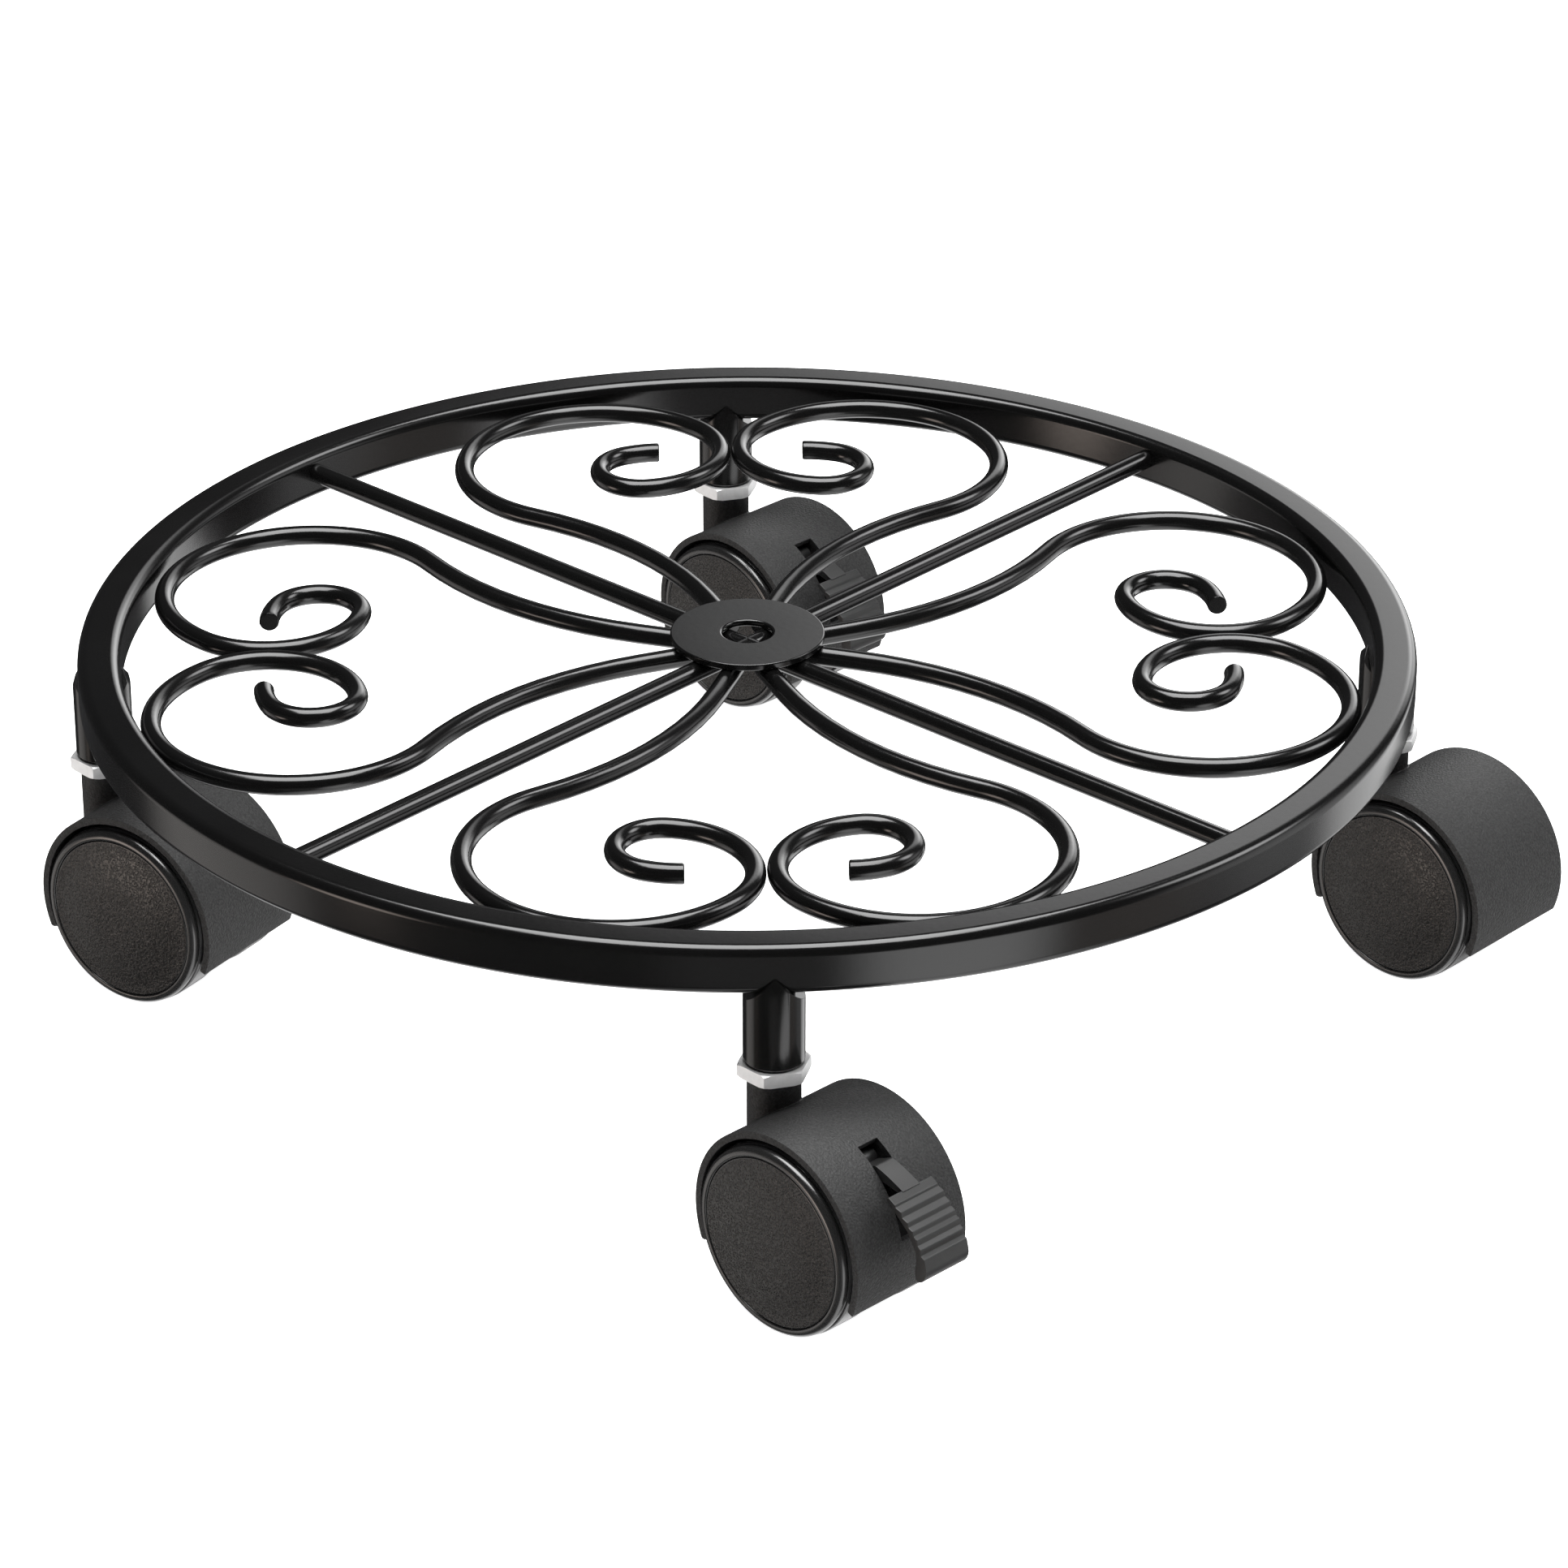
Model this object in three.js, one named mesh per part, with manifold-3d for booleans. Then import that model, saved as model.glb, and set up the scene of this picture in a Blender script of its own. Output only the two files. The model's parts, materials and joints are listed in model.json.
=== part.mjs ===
// A round wheeled caddy for a plant pot: a scrolled steel deck on four twin-wheel casters.
// Millimetres, +Z up. The floor is z = 0 and the origin is the middle of the box that the
// caddy stands in. The four leg posts lie on the X and Y directions from the hoop's centre.

import * as THREE from 'three';
import { mergeVertices } from 'three/addons/utils/BufferGeometryUtils.js';
import Module from 'manifold-3d';

// Deck
const hoopOuterRadius = 150;
const hoopWidth = 9.6;
const hoopHeight = 11.2;
const hoopCornerRadius = 1.4;
const hoopSides = 60;
const hoopTopAboveAxle = 58.2;
const rodRadius = 2.28;
const rodSides = 7;
const rodDepth = 4.7; // from the hoop's top to the rods' centre line
const hubRadius = 17.4;
const hubHoleRadius = 5.7;
const hubTopDepth = 0.75; // below the hoop's top
const hubThickness = 1.5;
const hubBevel = 0.5;
const hubSides = 24;

// Scroll: a rod that leaves the hub, sways out, loops round under the hoop and curls inwards.
// Across and along are measured from its spoke, and a turn is positive away from the spoke.
const scrollStart = { across: 5.4, along: 9.95, heading: 25.9 };
const scrollLead = 14.2;
const scrollTurns = [
  { radius: 87, sweep: -41.6, steps: 4 },
  { radius: 32.4, sweep: 198, steps: 10 },
  { radius: 20.8, sweep: 125.2, steps: 6 },
  { radius: 10, sweep: 165.1, steps: 8 },
  { radius: 22, sweep: 22.1, steps: 1 },
];

// Leg: post, stem and nut
const postRadius = 6.4;
const postSides = 20;
const postGable = 4.25; // height of the pointed lobes that clasp the hoop
const nutAcrossCorners = 16;
const nutThickness = 3;
const nutTopDepth = 28.4; // below the hoop's top
const nutYaw = -17.6;
const nutChamfer = { across: 0.7, deep: 0.9 };
const stemRadius = 3.9;
const stemNeckRadius = 2.9;
const stemReach = 16; // up into the post
const stemEndChamfer = 0.8;
const stemTopCrown = 0.5;
const threadStep = 0.4; // height of the step from the plain shank to the thread
const boltHoleRadius = 4.2;
const roundSides = 12; // pins, bores and clips

// Caster
const trail = 16.5; // stem axis to axle
const wheelRadius = 21.3; // axle height above the floor
const wheelSides = 16;
const wheelInner = 6.3; // from the caster's middle plane
const wheelOuter = 17.6;
const treadEdge = 2.3; // the tread rounds over to the rim in this width
const treadDrop = 0.7; // at the middle of that rounding
const rimDrop = 1.6; // at its end
const drumRadius = 9.4;
const drumInner = 3;
const capRadius = 18.85;
const capRecess = 2.4; // depth of the ledge under the cap
const capLedge = 1.4; // width of that ledge
const capEdgeDrop = 0.6;
const capCrown = 0.2;
const wheelDiscThickness = 2.2;
const wheelHubRadius = 6;
const wheelHubDepth = 0.8; // below the cap's ledge
const axleRadius = 2.5;
const axleHalfLength = 14.4;
const hoodRadius = 23.8;
const hoodWall = 1.6;
const hoodHalfWidth = 15.65;
const hoodRearAngle = -22.5; // from straight behind the axle, turning over the top
const hoodFrontAngle = 204;
const webHalfThickness = 2.5;
const webAngles = [82, 198];
const webHubRadius = 4.6;
const bossRadius = 5.7;
const bossFoot = 2; // above the axle
const socketFoot = 6.5; // above the axle
const clipHeight = 10; // above the axle
const clipRadius = 4.5;
const clipThickness = 1.2;

// Brake
const slotHalfWidth = 2.75;
const slotAngles = [10.9, 63.5];
const slotOvercut = 3;
const leverHalfWidth = 2.45;
const padHalfWidth = 6.25;
const pivot = { x: 9.2, z: 16.6 }; // from the axle
const pivotEyeRadius = 2.7;
const pivotPinRadius = 1;
const earInner = 2.85;
const earThickness = 2.2;
const earRoots = [74, 61, 48]; // angles where an ear meets the hood, front to back
const shoe = { inner: 11.2, outer: 13.4, angles: [36, 58] };

// Side outlines of the lever, as [radius, angle] about the axle
const neckOver = [[23.5, 51], [25.4, 45], [28.05, 33.7]];
const neckUnder = [[26.8, 32.5], [23.4, 43], [20.4, 48]];
const padTop = [[27.6, 34.5], [28.7, 29.5], [30, 24.5], [31.5, 18.5], [32.6, 12.5], [33.7, 8.8]];
const padLip = [[33.7, 3], [32.8, 0.6], [31.2, 0.2], [30.4, 3], [30.9, 9]];
const padUnder = [[30.6, 12.8], [29.8, 18.5], [28.4, 24.5], [26.1, 34]];

// The arm from the eye down to the shoe, as [x, z] from the pivot's x and the axle's height
const shankCorners = [[-1.5, pivot.z], [-1.2, 9.5], [2.4, 9.5], [2, pivot.z]];

const gap = 0.3;
const axleHeight = wheelRadius;
const hoopTop = axleHeight + hoopTopAboveAxle;
const hoopBottom = hoopTop - hoopHeight;
const hoopInnerRadius = hoopOuterRadius - hoopWidth;
const postOffset = hoopOuterRadius - hoopWidth / 2;
const rodHeight = hoopTop - rodDepth;
const nutTop = hoopTop - nutTopDepth;
const nutBottom = nutTop - nutThickness;

// Where each caster stands round the hoop, and the way its axle points, in degrees.
const casters = [
  { name: 'front', stand: -90, axle: 42, braked: true },
  { name: 'right', stand: 0, axle: 44.6, braked: false },
  { name: 'back', stand: 90, axle: 42, braked: true },
  { name: 'left', stand: 180, axle: 54.3, braked: false },
];

const wasm = await Module();
wasm.setup();
const { degToRad } = THREE.MathUtils;

// Finishes
const powderCoat = { color: 0x141414, roughness: 0.35, metalness: 0 };
const zinc = { color: 0xd6d6d4, roughness: 0.3, metalness: 1 };
const steel = { color: 0x9a9a9a, roughness: 0.4, metalness: 1 };
const hoodNylon = { color: 0x2c2c2c, roughness: 0.7, metalness: 0 };
const wheelNylon = { color: 0x1f1f1f, roughness: 0.35, metalness: 0 };
const capNylon = { color: 0x262322, roughness: 0.6, metalness: 0 };

function piece(name, geometry, finish) {
  const mesh = new THREE.Mesh(geometry, new THREE.MeshStandardMaterial(finish));
  mesh.name = name;
  return mesh;
}

// Keeps only positions, with shared corners, so that the surface is one closed skin.
function skin(geometry) {
  const bare = geometry.clone();
  bare.deleteAttribute('normal');
  bare.deleteAttribute('uv');
  return mergeVertices(bare);
}

function solid(geometry) {
  const closed = skin(geometry);
  return new wasm.Manifold(new wasm.Mesh({
    numProp: 3,
    vertProperties: new Float32Array(closed.attributes.position.array),
    triVerts: new Uint32Array(closed.index.array),
  }));
}

function fromSolid(body) {
  const mesh = body.getMesh();
  const geometry = new THREE.BufferGeometry();
  geometry.setAttribute('position', new THREE.BufferAttribute(mesh.vertProperties, 3));
  geometry.setIndex(new THREE.BufferAttribute(mesh.triVerts, 1));
  return geometry;
}

// A ring or disc turned about Z from a closed outline of [radius, height] points,
// listed so that the metal lies on the left of the way round.
function turned(outline, sides, flatDown = false) {
  const points = outline.map(([radius, height]) => new THREE.Vector2(radius, height));
  if (outline[0][0] > 0 || outline.at(-1)[0] > 0) points.push(points[0].clone());
  const start = flatDown ? Math.PI / sides : 0;
  return new THREE.LatheGeometry(points, sides, start).rotateX(Math.PI / 2);
}

function cylinder(radius, length, sides) {
  return new THREE.CylinderGeometry(radius, radius, length, sides).rotateX(Math.PI / 2);
}

// A flat shape in the caster's middle plane (x rearwards, z up), thickened both ways along Y.
function acrossPlate(shape, halfWidth, curveSegments = 10) {
  const geometry = new THREE.ExtrudeGeometry(shape, {
    depth: 2 * halfWidth,
    bevelEnabled: false,
    curveSegments,
  });
  return geometry.translate(0, 0, -halfWidth).rotateX(Math.PI / 2);
}

function sector(inner, outer, from, to) {
  const shape = new THREE.Shape();
  const a = degToRad(from);
  const b = degToRad(to);
  shape.absarc(0, 0, outer, a, b, false);
  if (inner > 0) {
    shape.absarc(0, 0, inner, b, a, true);
  } else {
    shape.lineTo(0, 0);
  }
  shape.closePath();
  return shape;
}

function polar(radius, angle) {
  const a = degToRad(angle);
  return new THREE.Vector2(radius * Math.cos(a), radius * Math.sin(a));
}

// Round rod section, one corner list for every rod.
function rodSection() {
  const corners = [];
  for (let i = 0; i < rodSides; i += 1) {
    const a = (2 * Math.PI * (i + 0.5)) / rodSides;
    corners.push(new THREE.Vector2(rodRadius * Math.cos(a), rodRadius * Math.sin(a)));
  }
  return new THREE.Shape(corners);
}

// Centre line of a scroll: its lead, then one arc after another. A step covers more of a
// gentle arc than of a tight one, so the curve is walked by its steps and not by its length.
class ScrollLine extends THREE.Curve {
  constructor() {
    super();
    this.stretches = [{ radius: 0, sweep: 0, steps: 1 }, ...scrollTurns];
    this.steps = this.stretches.reduce((sum, stretch) => sum + stretch.steps, 0);
  }

  getUtoTmapping(u) {
    return u;
  }

  getPoint(t, target = new THREE.Vector3()) {
    let left = t * this.steps;
    let heading = degToRad(scrollStart.heading);
    let x = scrollStart.across;
    let y = scrollStart.along;
    for (const { radius, sweep, steps } of this.stretches) {
      const share = Math.min(left, steps) / steps;
      if (sweep === 0) {
        x += share * scrollLead * Math.sin(heading);
        y += share * scrollLead * Math.cos(heading);
      } else {
        const next = heading + share * degToRad(sweep);
        const side = Math.sign(sweep) * radius;
        x += side * (Math.cos(heading) - Math.cos(next));
        y += side * (Math.sin(next) - Math.sin(heading));
        heading = next;
      }
      left -= share * steps;
    }
    return target.set(x, y, 0);
  }
}

function hoopGeometry() {
  const outline = [];
  const corners = [
    [hoopOuterRadius, 0, 270],
    [hoopOuterRadius, hoopHeight, 0],
    [hoopInnerRadius, hoopHeight, 90],
    [hoopInnerRadius, 0, 180],
  ];
  for (const [radius, height, from] of corners) {
    const inwards = radius === hoopOuterRadius ? -1 : 1;
    const upwards = height === 0 ? 1 : -1;
    for (const step of [0, 90]) {
      const a = degToRad(from + step);
      outline.push([
        radius + hoopCornerRadius * (inwards + Math.cos(a)),
        height + hoopCornerRadius * (upwards + Math.sin(a)),
      ]);
    }
  }
  return turned(outline, hoopSides);
}

function hubGeometry() {
  return turned([
    [hubHoleRadius, 0],
    [hubRadius, 0],
    [hubRadius, hubThickness - hubBevel],
    [hubRadius - hubBevel, hubThickness],
    [hubHoleRadius + hubBevel, hubThickness],
    [hubHoleRadius, hubThickness - hubBevel],
  ], hubSides);
}

// A spoke runs out along +Y and is mitred at the middle, where all four meet.
function spokeGeometry() {
  const length = hoopInnerRadius - 2 * gap;
  const wedge = new THREE.Shape([
    new THREE.Vector2(0, gap),
    new THREE.Vector2(length, gap + length),
    new THREE.Vector2(-length, gap + length),
  ]);
  const rod = cylinder(rodRadius, length, 10).rotateX(Math.PI / 2).translate(0, length / 2, 0);
  const mitre = new THREE.ExtrudeGeometry(wedge, { depth: 4 * rodRadius, bevelEnabled: false });
  return fromSolid(solid(rod).intersect(solid(mitre.translate(0, 0, -2 * rodRadius))));
}

// The post's top clasps the hoop: a gable with its ridge pointing outwards, less the hoop.
function postGeometry() {
  const bottom = nutTop + gap;
  const top = hoopBottom + postGable;
  const tube = cylinder(postRadius, top - bottom, postSides).translate(0, 0, (top + bottom) / 2);
  const gable = new THREE.Shape([
    new THREE.Vector2(0, top),
    new THREE.Vector2(-postRadius - 1, top - postRadius - 1),
    new THREE.Vector2(-postRadius - 1, bottom - 1),
    new THREE.Vector2(postRadius + 1, bottom - 1),
    new THREE.Vector2(postRadius + 1, top - postRadius - 1),
  ]);
  const roof = new THREE.ExtrudeGeometry(gable, { depth: 4 * postRadius, bevelEnabled: false })
    .translate(0, 0, -2 * postRadius)
    .rotateX(Math.PI / 2)
    .rotateZ(Math.PI / 2);
  const clearance = gap / 2;
  const seat = turned([
    [hoopInnerRadius - clearance, hoopBottom - clearance],
    [hoopOuterRadius + clearance, hoopBottom - clearance],
    [hoopOuterRadius + clearance, hoopTop],
    [hoopInnerRadius - clearance, hoopTop],
  ], hoopSides).translate(-postOffset, 0, 0);
  const boreLength = stemReach + 1;
  const bore = cylinder(boltHoleRadius, boreLength, roundSides).translate(0, 0, bottom + boreLength / 2 - 1);
  return fromSolid(solid(tube).intersect(solid(roof)).subtract(solid(seat)).subtract(solid(bore)));
}

function nutGeometry() {
  const corner = nutAcrossCorners / 2;
  const hexagon = turned([[0, 0], [corner, 0], [corner, nutThickness], [0, nutThickness]], 6);
  const round = turned([
    [0, -1],
    [corner + 1, -1],
    [corner + 1, nutThickness - nutChamfer.deep],
    [corner - nutChamfer.across, nutThickness],
    [0, nutThickness],
  ], 24);
  const bore = cylinder(boltHoleRadius, 4 * nutThickness, roundSides);
  const nut = solid(hexagon).intersect(solid(round)).subtract(solid(bore));
  return fromSolid(nut).rotateZ(degToRad(nutYaw));
}

// Stem, from its end in the post down to the head under the clip's groove.
function stemGeometry() {
  const clipBase = axleHeight + clipHeight;
  const foot = axleHeight + socketFoot + gap;
  const throat = nutBottom - 1;
  const top = nutTop + stemReach - stemEndChamfer;
  return turned([
    [0, foot],
    [stemRadius - stemEndChamfer, foot],
    [stemRadius - gap, clipBase - gap],
    [stemNeckRadius, clipBase - gap],
    [stemNeckRadius, clipBase + clipThickness + gap],
    [stemRadius - gap, clipBase + clipThickness + gap],
    [stemRadius - gap, throat],
    [stemRadius, throat + threadStep],
    [stemRadius, top],
    [0, top + stemTopCrown],
  ], 10);
}

function clipGeometry() {
  const base = axleHeight + clipHeight;
  return turned([
    [stemNeckRadius + gap, base],
    [clipRadius, base],
    [clipRadius, base + clipThickness],
    [stemNeckRadius + gap, base + clipThickness],
  ], roundSides);
}

// Hood, measured from the axle. The stem stands at x = -trail.
function hoodGeometry(braked) {
  const inner = hoodRadius - hoodWall;
  const shell = acrossPlate(sector(inner, hoodRadius, hoodRearAngle, hoodFrontAngle), hoodHalfWidth);
  const web = acrossPlate(sector(0, inner + hoodWall / 2, ...webAngles), webHalfThickness, 6);
  const hub = cylinder(webHubRadius, 2 * webHalfThickness, 16).rotateX(Math.PI / 2);
  const bossTop = nutBottom - gap - axleHeight;
  const boss = cylinder(bossRadius, bossTop - bossFoot, 20)
    .translate(-trail, 0, (bossTop + bossFoot) / 2);
  const axleHole = cylinder(axleRadius + gap, 2 * hoodHalfWidth, roundSides).rotateX(Math.PI / 2);
  const socket = cylinder(stemRadius + gap / 2, bossTop + 1 - socketFoot, roundSides)
    .translate(-trail, 0, (bossTop + 1 + socketFoot) / 2);
  const groove = cylinder(clipRadius + gap, clipThickness + 2 * gap, roundSides)
    .translate(-trail, 0, clipHeight + clipThickness / 2);
  let hood = solid(shell).add(solid(web)).add(solid(hub)).add(solid(boss));
  if (braked) {
    const slot = acrossPlate(
      sector(inner - slotOvercut, hoodRadius + slotOvercut, ...slotAngles),
      slotHalfWidth,
      4,
    );
    hood = hood.subtract(solid(slot));
    for (const side of [-1, 1]) hood = hood.add(solid(earGeometry(side, inner)));
    hood = hood.subtract(solid(pinHoleGeometry()));
  }
  return fromSolid(hood.subtract(solid(axleHole)).subtract(solid(socket)).subtract(solid(groove)));
}

function pinHoleGeometry() {
  return cylinder(pivotPinRadius + gap, 2 * hoodHalfWidth, 8)
    .rotateX(Math.PI / 2)
    .translate(pivot.x, 0, pivot.z);
}

// One of the two ears inside the hood that hold the brake's pin.
function earGeometry(side, inner) {
  const reach = pivotEyeRadius;
  const [front, middle, back] = earRoots.map((angle) => polar(inner + hoodWall / 2, angle));
  const ear = new THREE.Shape([
    front,
    new THREE.Vector2(pivot.x - reach, pivot.z - 1),
    new THREE.Vector2(pivot.x - reach / 2, pivot.z - reach),
    new THREE.Vector2(pivot.x + reach / 2, pivot.z - reach),
    new THREE.Vector2(pivot.x + reach, pivot.z - 1),
    back,
    middle,
  ]);
  return acrossPlate(ear, earThickness / 2).translate(0, side * (earInner + earThickness / 2), 0);
}

// Lever, measured from the axle: an eye on the pin, a neck out through the slot, the
// thumb pad with its lip, and inside the hood a shoe that bears on both wheels' drums.
function leverGeometry() {
  const eye = cylinder(pivotEyeRadius, 2 * leverHalfWidth, 14).rotateX(Math.PI / 2)
    .translate(pivot.x, 0, pivot.z);
  const neck = new THREE.Shape([
    new THREE.Vector2(pivot.x, pivot.z + pivotEyeRadius - 0.5),
    ...outlinePoints([...neckOver, ...neckUnder]),
    new THREE.Vector2(pivot.x + 1, pivot.z - 1.5),
  ].reverse());
  const shank = new THREE.Shape(shankCorners.map(([x, z]) => new THREE.Vector2(pivot.x + x, z)));
  const pad = new THREE.Shape(outlinePoints([...padTop, ...padLip, ...padUnder]).reverse());
  const lever = solid(eye)
    .add(solid(acrossPlate(neck, leverHalfWidth)))
    .add(solid(acrossPlate(shank, leverHalfWidth)))
    .add(solid(acrossPlate(sector(shoe.inner, shoe.outer, ...shoe.angles), wheelInner - 2 * gap, 2)))
    .add(solid(acrossPlate(pad, padHalfWidth)));
  return fromSolid(lever.subtract(solid(pinHoleGeometry())));
}

function outlinePoints(corners) {
  return corners.map(([radius, angle]) => polar(radius, angle));
}

// Wheel, turned about the axle with its outer face up: a rim and tread on a thin disc,
// a long hub, a ledge for the cap and an inner drum for the brake.
function wheelGeometry() {
  const tread = wheelRadius / Math.cos(Math.PI / wheelSides);
  const seat = capRadius + gap;
  const ledge = wheelOuter - capRecess;
  const disc = wheelInner + wheelDiscThickness;
  const hubEnd = ledge - wheelHubDepth;
  return turned([
    [axleRadius + gap, drumInner],
    [drumRadius, drumInner],
    [drumRadius, wheelInner],
    [tread, wheelInner],
    [tread, wheelOuter - treadEdge],
    [tread - treadDrop, wheelOuter - capEdgeDrop],
    [tread - rimDrop, wheelOuter],
    [seat, wheelOuter - 0.4],
    [seat, ledge],
    [seat - capLedge, ledge],
    [seat - capLedge, disc],
    [wheelHubRadius, disc],
    [wheelHubRadius, hubEnd],
    [axleRadius + gap, hubEnd],
  ], wheelSides, true);
}

function capGeometry() {
  const base = wheelOuter - capRecess + gap;
  return turned([
    [0, base],
    [capRadius, base],
    [capRadius, wheelOuter - capEdgeDrop],
    [capRadius * 0.7, wheelOuter - 0.1],
    [0, wheelOuter + capCrown],
  ], wheelSides, true);
}

function deck() {
  const group = new THREE.Group();
  const hoop = piece('hoop', hoopGeometry(), powderCoat);
  hoop.position.z = hoopBottom;
  const hub = piece('hub_plate', hubGeometry(), powderCoat);
  hub.position.z = hoopTop - hubTopDepth - hubThickness;
  group.add(hoop, hub);

  const line = new ScrollLine();
  const scroll = new THREE.ExtrudeGeometry(rodSection(), {
    steps: line.steps,
    bevelEnabled: false,
    extrudePath: line,
  });
  const mirrored = fromSolid(solid(scroll).mirror([1, 0, 0]));
  for (let i = 0; i < 4; i += 1) {
    const turn = degToRad(45 + 90 * i);
    const pieces = [
      piece(`spoke_${i + 1}`, spokeGeometry(), powderCoat),
      piece(`scroll_${i + 1}_a`, scroll.clone(), powderCoat),
      piece(`scroll_${i + 1}_b`, mirrored.clone(), powderCoat),
    ];
    for (const part of pieces) {
      part.position.z = rodHeight;
      part.rotation.z = turn;
      group.add(part);
    }
  }
  return group;
}

// One leg and its caster. The group turns to its place round the hoop, and the caster
// inside it turns to the way its axle points.
function leg({ name, stand, axle, braked }) {
  const group = new THREE.Group();
  group.rotation.z = degToRad(stand);

  const onStem = new THREE.Group();
  onStem.position.x = postOffset;
  group.add(onStem);
  const nut = piece(`nut_${name}`, nutGeometry(), zinc);
  nut.position.z = nutBottom;
  nut.rotation.z = degToRad(-stand);
  onStem.add(
    piece(`post_${name}`, postGeometry(), powderCoat),
    piece(`stem_${name}`, stemGeometry(), steel),
    nut,
    piece(`stem_clip_${name}`, clipGeometry(), steel),
  );

  const caster = new THREE.Group();
  caster.rotation.z = degToRad(axle - 90 - stand);
  onStem.add(caster);
  const onAxle = new THREE.Group();
  onAxle.position.set(trail, 0, axleHeight);
  caster.add(onAxle);
  onAxle.add(piece(`hood_${name}`, hoodGeometry(braked), hoodNylon));
  const pin = cylinder(axleRadius, 2 * axleHalfLength, roundSides).rotateX(Math.PI / 2);
  onAxle.add(piece(`axle_${name}`, pin, steel));
  for (const [side, turn] of [['a', 90], ['b', -90]]) {
    const wheel = piece(`wheel_${name}_${side}`, wheelGeometry(), wheelNylon);
    const cap = piece(`wheel_cap_${name}_${side}`, capGeometry(), capNylon);
    wheel.rotation.x = degToRad(turn);
    cap.rotation.x = degToRad(turn);
    onAxle.add(wheel, cap);
  }
  if (braked) {
    const pivotPin = cylinder(pivotPinRadius, 2 * (earInner + earThickness), 8)
      .rotateX(Math.PI / 2)
      .translate(pivot.x, 0, pivot.z);
    onAxle.add(piece(`brake_pin_${name}`, pivotPin, steel));
    onAxle.add(piece(`brake_lever_${name}`, leverGeometry(), hoodNylon));
  }
  return group;
}

const caddy = new THREE.Group();
caddy.add(deck(), ...casters.map(leg));

// Stand the caddy with the middle of its box on the origin.
const footprint = new THREE.Box3().setFromObject(caddy);
const middle = footprint.getCenter(new THREE.Vector3());
caddy.position.set(-middle.x, -middle.y, 0);

export default caddy;
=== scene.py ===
import json
import math
from math import cos, pi, radians, sin

import bmesh
import bpy
from mathutils import Matrix, Vector


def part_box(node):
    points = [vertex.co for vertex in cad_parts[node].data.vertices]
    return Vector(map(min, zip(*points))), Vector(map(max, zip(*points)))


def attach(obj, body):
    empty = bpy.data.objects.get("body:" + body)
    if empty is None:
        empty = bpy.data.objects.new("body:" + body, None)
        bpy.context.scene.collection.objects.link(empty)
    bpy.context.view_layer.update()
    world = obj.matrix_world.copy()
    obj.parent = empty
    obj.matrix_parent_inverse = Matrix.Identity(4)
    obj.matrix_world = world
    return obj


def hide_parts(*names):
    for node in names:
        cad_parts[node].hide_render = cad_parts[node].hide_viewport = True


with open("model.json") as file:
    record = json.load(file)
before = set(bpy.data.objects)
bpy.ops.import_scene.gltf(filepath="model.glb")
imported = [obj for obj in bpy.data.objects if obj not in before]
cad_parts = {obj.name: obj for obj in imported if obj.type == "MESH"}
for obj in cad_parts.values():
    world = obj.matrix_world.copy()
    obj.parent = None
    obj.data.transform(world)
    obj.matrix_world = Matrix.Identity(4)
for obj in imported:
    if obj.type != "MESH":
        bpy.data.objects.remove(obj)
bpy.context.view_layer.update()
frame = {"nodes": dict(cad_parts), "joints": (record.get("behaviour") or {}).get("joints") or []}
mm = 0.001
print("frame loaded")


# Where things are: the hoop's centre, and for each caster a frame on its axle
# with x away from the stem, y along the axle and z up.
joints = {joint["name"]: joint for joint in frame["joints"]}
hoopLow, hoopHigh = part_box("hoop")
hubLow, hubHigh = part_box("hub_plate")
deckPlace = Matrix.Translation(((hoopLow.x + hoopHigh.x) / 2, (hoopLow.y + hoopHigh.y) / 2, 0))
hoopOuter = (hoopHigh.y - hoopLow.y) / 2 / mm
hoopTop = hoopHigh.z / mm
hoopBottom = hoopLow.z / mm
casterNames = ["front", "right", "back", "left"]
brakedCasters = ["front", "back"]
stemPlaces = {}
axlePlaces = {}
for name in casterNames:
    stem = Vector(joints[f"swivel_{name}"]["pos_m"])
    axle = Vector(joints[f"roll_{name}_a"]["pos_m"])
    rearward = Vector((axle.x - stem.x, axle.y - stem.y, 0)).normalized()
    along = Vector(joints[f"roll_{name}_a"]["axis"]).normalized()
    turn = Matrix((rearward, along, (0, 0, 1))).transposed().to_4x4()
    stemPlaces[name] = Matrix.Translation((stem.x, stem.y, 0))
    axlePlaces[name] = Matrix.Translation(axle) @ turn
axleHeight = axlePlaces["front"].translation.z / mm
stemBehind = (axlePlaces["front"].translation - stemPlaces["front"].translation).xy.length / mm


# Modelling helpers. Sizes are given in millimetres.
def selectOnly(piece):
    bpy.ops.object.select_all(action="DESELECT")
    piece.select_set(True)
    bpy.context.view_layer.objects.active = piece


def editPiece(piece):
    selectOnly(piece)
    bpy.ops.object.mode_set(mode="EDIT")
    bpy.ops.mesh.select_mode(type="VERT")
    bpy.ops.mesh.select_all(action="DESELECT")


def leaveEdit():
    bpy.ops.object.mode_set(mode="OBJECT")


def pick(kind, test):
    # selects the points, edges or faces of the piece being edited that pass the test
    bpy.ops.mesh.select_mode(type={"verts": "VERT", "edges": "EDGE", "faces": "FACE"}[kind])
    bpy.ops.mesh.select_all(action="DESELECT")
    mesh = bmesh.from_edit_mesh(bpy.context.object.data)
    for part in getattr(mesh, kind):
        if test(part):
            part.select_set(True)
    mesh.select_flush_mode()
    bmesh.update_edit_mesh(bpy.context.object.data)


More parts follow.
